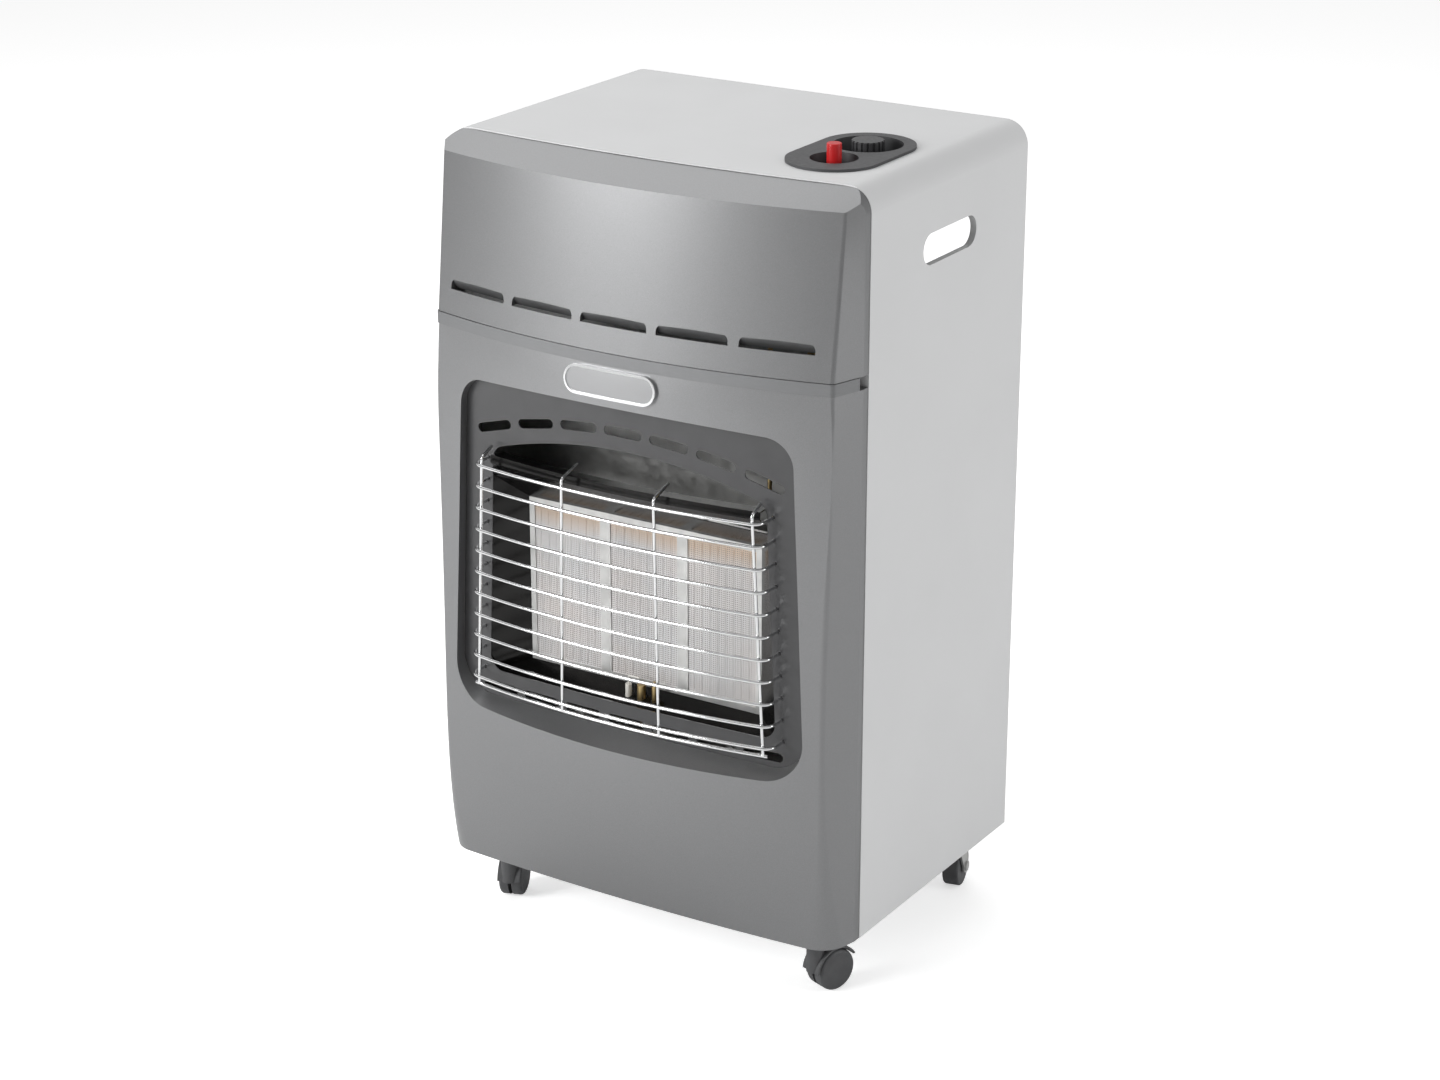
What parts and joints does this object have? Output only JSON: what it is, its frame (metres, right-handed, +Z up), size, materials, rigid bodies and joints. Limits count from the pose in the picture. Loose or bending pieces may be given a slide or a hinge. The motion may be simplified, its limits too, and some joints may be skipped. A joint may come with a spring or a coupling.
{
  "type": "portable_gas_cabinet_heater",
  "caption": "White and silver portable cabinet gas heater on casters, with ceramic plaques behind a chromed wire guard, a top-mounted knob and a red igniter button.",
  "frame": {"origin": "on the floor below the middle of the outline", "axes": "+Z up, the fire faces -Y, +X is the right-hand side seen from the front"},
  "size_m": [0.43, 0.4088, 0.7705],
  "materials": {
    "painted_white": "satin",
    "painted_silver": "satin",
    "satin_silver": "satin",
    "dark_enamel": "gloss",
    "bright_reflector": "gloss",
    "chrome_wire": "polished",
    "zinc_steel": "satin",
    "ceramic": "matte",
    "brass": "satin",
    "electrode_white": "gloss",
    "cast_alloy": "cast",
    "dark_plastic": "matte",
    "red_plastic": "gloss",
    "painted_grey": "satin",
    "caster_plastic": "matte"
  },
  "bodies": {
    "cabinet": {"cabinet_wrap": "painted_white", "upper_front_panel": "painted_silver", "lower_front_panel": "painted_silver", "trim_strip": "satin_silver", "name_plate": "satin_silver", "fire_surround": "dark_enamel", "visor": "dark_enamel", "firebox_liner": "bright_reflector", "guard_grille": "chrome_wire", "plaque_frame": "zinc_steel", "heat_shield": "zinc_steel", "burner_rail_upper": "zinc_steel", "burner_rail_lower": "zinc_steel", "rail_bracket_left": "zinc_steel", "rail_bracket_right": "zinc_steel", "rear_rail": "zinc_steel", "valve_bracket": "zinc_steel", "ceramic_plaque_left": "ceramic", "ceramic_plaque_centre": "ceramic", "ceramic_plaque_right": "ceramic", "burner_left": "zinc_steel", "burner_centre": "zinc_steel", "burner_right": "zinc_steel", "injector_rail": "zinc_steel", "injector_jets": "brass", "gas_inlet": "brass", "pilot_burner": "brass", "thermocouple": "brass", "supply_pipe": "brass", "pilot_pipe": "brass", "spark_electrode": "electrode_white", "gas_valve": "cast_alloy", "igniter_nut": "zinc_steel", "caster_screws": "zinc_steel", "control_recess": "dark_plastic", "igniter_body": "dark_plastic", "base_tray": "painted_grey", "front_caster_left_stem": "zinc_steel", "rear_caster_left_plate": "zinc_steel", "front_caster_right_stem": "zinc_steel", "rear_caster_right_plate": "zinc_steel"},
    "valve_plunger": {"valve_plunger": "zinc_steel"},
    "control_knob": {"control_knob": "dark_plastic", "valve_spindle": "zinc_steel"},
    "igniter_button": {"igniter_button": "red_plastic"},
    "rear_cover": {"rear_cover": "painted_grey"},
    "front_swivel_left": {"front_caster_left_hood": "caster_plastic", "front_caster_left_axle": "zinc_steel"},
    "front_wheel_inner_left": {"front_caster_left_wheel_inner": "caster_plastic"},
    "front_wheel_outer_left": {"front_caster_left_wheel_outer": "caster_plastic"},
    "rear_swivel_left": {"rear_caster_left_fork": "zinc_steel", "rear_caster_left_axle": "zinc_steel"},
    "rear_wheel_left": {"rear_caster_left_wheel": "caster_plastic"},
    "front_swivel_right": {"front_caster_right_hood": "caster_plastic", "front_caster_right_axle": "zinc_steel"},
    "front_wheel_inner_right": {"front_caster_right_wheel_inner": "caster_plastic"},
    "front_wheel_outer_right": {"front_caster_right_wheel_outer": "caster_plastic"},
    "rear_swivel_right": {"rear_caster_right_fork": "zinc_steel", "rear_caster_right_axle": "zinc_steel"},
    "rear_wheel_right": {"rear_caster_right_wheel": "caster_plastic"}
  },
  "joints": [
    {"name": "valve_push", "type": "slide", "parent": "cabinet", "child": "valve_plunger", "axis": [0, 0, -1], "range_m": [0, 0.004], "stiffness_N_per_m": 900, "springref_m": -0.001},
    {"name": "knob_turn", "type": "hinge", "parent": "valve_plunger", "child": "control_knob", "pos_m": [0.141, 0.0001, 0.7525], "axis": [0, 0, 1], "range_deg": [0, 240]},
    {"name": "igniter_press", "type": "slide", "parent": "cabinet", "child": "igniter_button", "axis": [0, 0, -1], "range_m": [0, 0.006], "stiffness_N_per_m": 700, "springref_m": -0.001},
    {"name": "rear_cover_pull", "type": "slide", "parent": "cabinet", "child": "rear_cover", "axis": [0, 1, 0], "range_m": [0, 0.3]},
    {"name": "front_swivel_left", "type": "hinge", "parent": "cabinet", "child": "front_swivel_left", "pos_m": [-0.17, -0.1239, 0.055], "axis": [0, 0, 1], "continuous": true},
    {"name": "front_wheel_inner_left", "type": "hinge", "parent": "front_swivel_left", "child": "front_wheel_inner_left", "pos_m": [-0.17616, -0.10699, 0.02], "axis": [0.9397, 0.342, 0], "continuous": true},
    {"name": "front_wheel_outer_left", "type": "hinge", "parent": "front_swivel_left", "child": "front_wheel_outer_left", "pos_m": [-0.17616, -0.10699, 0.02], "axis": [0.9397, 0.342, 0], "continuous": true},
    {"name": "rear_swivel_left", "type": "hinge", "parent": "cabinet", "child": "rear_swivel_left", "pos_m": [-0.178, 0.1211, 0.06], "axis": [0, 0, 1], "continuous": true},
    {"name": "rear_wheel_left", "type": "hinge", "parent": "rear_swivel_left", "child": "rear_wheel_left", "pos_m": [-0.17467, 0.13675, 0.02], "axis": [0.9781, -0.2079, 0], "continuous": true},
    {"name": "front_swivel_right", "type": "hinge", "parent": "cabinet", "child": "front_swivel_right", "pos_m": [0.17, -0.1239, 0.055], "axis": [0, 0, 1], "continuous": true},
    {"name": "front_wheel_inner_right", "type": "hinge", "parent": "front_swivel_right", "child": "front_wheel_inner_right", "pos_m": [0.17616, -0.10699, 0.02], "axis": [0.9397, -0.342, 0], "continuous": true},
    {"name": "front_wheel_outer_right", "type": "hinge", "parent": "front_swivel_right", "child": "front_wheel_outer_right", "pos_m": [0.17616, -0.10699, 0.02], "axis": [0.9397, -0.342, 0], "continuous": true},
    {"name": "rear_swivel_right", "type": "hinge", "parent": "cabinet", "child": "rear_swivel_right", "pos_m": [0.178, 0.1211, 0.06], "axis": [0, 0, 1], "continuous": true},
    {"name": "rear_wheel_right", "type": "hinge", "parent": "rear_swivel_right", "child": "rear_wheel_right", "pos_m": [0.17467, 0.13675, 0.02], "axis": [0.9781, 0.2079, 0], "continuous": true}
  ]
}
